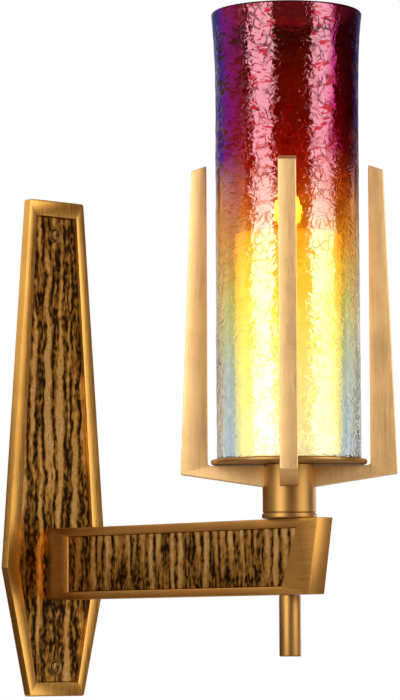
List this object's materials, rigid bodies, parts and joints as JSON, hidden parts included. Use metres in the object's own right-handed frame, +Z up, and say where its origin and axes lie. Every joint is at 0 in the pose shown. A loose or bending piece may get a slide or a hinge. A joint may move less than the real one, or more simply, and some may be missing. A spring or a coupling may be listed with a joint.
{
  "type": "sanctuary lamp",
  "caption": "Wall-hung sanctuary lamp: a ruby glass cylinder and pillar candle on a hub with upright fins, carried by a flat arm on a six-sided plate.",
  "frame": {"origin": "on the wall plate's back face, in the middle of its width and level with the middle of the arm", "axes": "+Y from the lamp into the wall, +Z up; the arm reaches out along -Y"},
  "size_m": [0.1174, 0.3509, 0.4913],
  "materials": {
    "satin_bronze": "satin, lightly brushed along each piece, with lighter worn edges",
    "oxidised_bronze": "cast bark texture, oxidised almost black in its hollows and rubbed back on its ridges",
    "steel": "plain bright zinc-plated fasteners",
    "ruby_glass": "hand-blown crackle glass, ruby at the mouth and clear amber below, with a lustre sheen",
    "wax": "smooth cream wax with a melted pool round the wick",
    "wick": "braided cotton, charred at its tip"
  },
  "bodies": {
    "bracket": {"wall_plate": "satin_bronze", "plate_bark_inlay": "oxidised_bronze", "wall_screw_upper": "oxidised_bronze", "wall_screw_lower": "oxidised_bronze", "cup_washer_upper": "oxidised_bronze", "cup_washer_lower": "oxidised_bronze", "arm": "satin_bronze", "arm_bark_inlay_left": "oxidised_bronze", "arm_bark_inlay_right": "oxidised_bronze", "arm_screw_upper": "steel", "arm_screw_lower": "steel"},
    "head": {"tie_stud": "steel", "stud_nut": "steel", "hub_base_ring": "satin_bronze", "hub": "satin_bronze", "hub_plug": "satin_bronze", "gallery_disc": "satin_bronze", "disc_screw": "satin_bronze", "fin_back_left": "satin_bronze", "fin_back_right": "satin_bronze", "fin_front_left": "satin_bronze", "fin_front_right": "satin_bronze", "fin_screw_back_left": "steel", "fin_screw_back_right": "steel", "fin_screw_front_left": "steel", "fin_screw_front_right": "steel"},
    "tail": {"tail_rod": "satin_bronze"},
    "glass": {"glass_cylinder": "ruby_glass"},
    "candle": {"candle": "wax", "wick": "wick"}
  },
  "joints": [
    {"name": "head_swivel", "type": "hinge", "parent": "bracket", "child": "head", "pos_m": [0, -0.258, 0.031], "axis": [0, 0, 1], "continuous": true},
    {"name": "tail_rod_turn", "type": "hinge", "parent": "head", "child": "tail", "pos_m": [0, -0.258, -0.0273], "axis": [0, 0, 1], "continuous": true},
    {"name": "glass_lift", "type": "slide", "parent": "head", "child": "glass", "axis": [0, 0, 1], "range_m": [0, 0.22]},
    {"name": "candle_lift", "type": "slide", "parent": "head", "child": "candle", "axis": [0, 0, 1], "range_m": [0, 0.33]}
  ]
}
